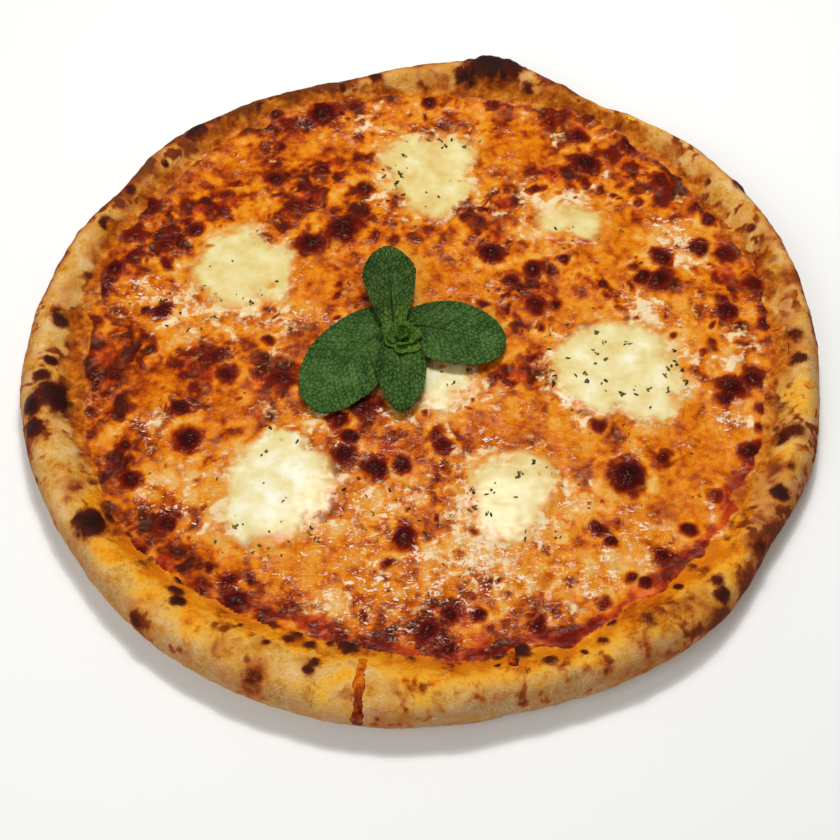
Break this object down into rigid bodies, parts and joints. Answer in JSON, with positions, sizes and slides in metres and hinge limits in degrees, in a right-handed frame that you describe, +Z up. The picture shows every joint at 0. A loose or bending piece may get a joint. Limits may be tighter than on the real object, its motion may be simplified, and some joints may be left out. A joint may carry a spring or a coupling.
{
  "type": "margherita pizza",
  "caption": "Round baked pizza: puffed browned rim, tomato sauce and melted cheese, soft mozzarella pools and a mint sprig on top, for laying on a board or plate.",
  "frame": {"origin": "middle of the flat underside, at the bottom of the whole object's box", "axes": "+Z up out of the toppings; -Y is the side nearest the viewer, with the broadest stretch of rim; +X to the viewer's right"},
  "size_m": [0.3164, 0.3172, 0.021],
  "materials": {
    "baked_dough": "baked wheat dough, matte, flour-dusted below and golden above with charred spots",
    "sauce_and_cheese": "tomato sauce and melted cheese baked together, oily gloss with dark blisters",
    "mozzarella": "soft melted mozzarella, pale cream, smooth and slightly glossy",
    "mint_leaf": "fresh mint leaf, quilted between its veins, satin"
  },
  "bodies": {
    "root": {"crust": "baked_dough", "sauce_and_cheese": "sauce_and_cheese", "mozzarella_back": "mozzarella", "mozzarella_left": "mozzarella", "mozzarella_back_right": "mozzarella", "mozzarella_right": "mozzarella", "mozzarella_centre": "mozzarella", "mozzarella_front": "mozzarella", "mozzarella_front_left": "mozzarella", "mint_leaf_left": "mint_leaf", "mint_leaf_right": "mint_leaf", "mint_leaf_back": "mint_leaf", "mint_leaf_front": "mint_leaf", "mint_heart": "mint_leaf"}
  },
  "joints": []
}
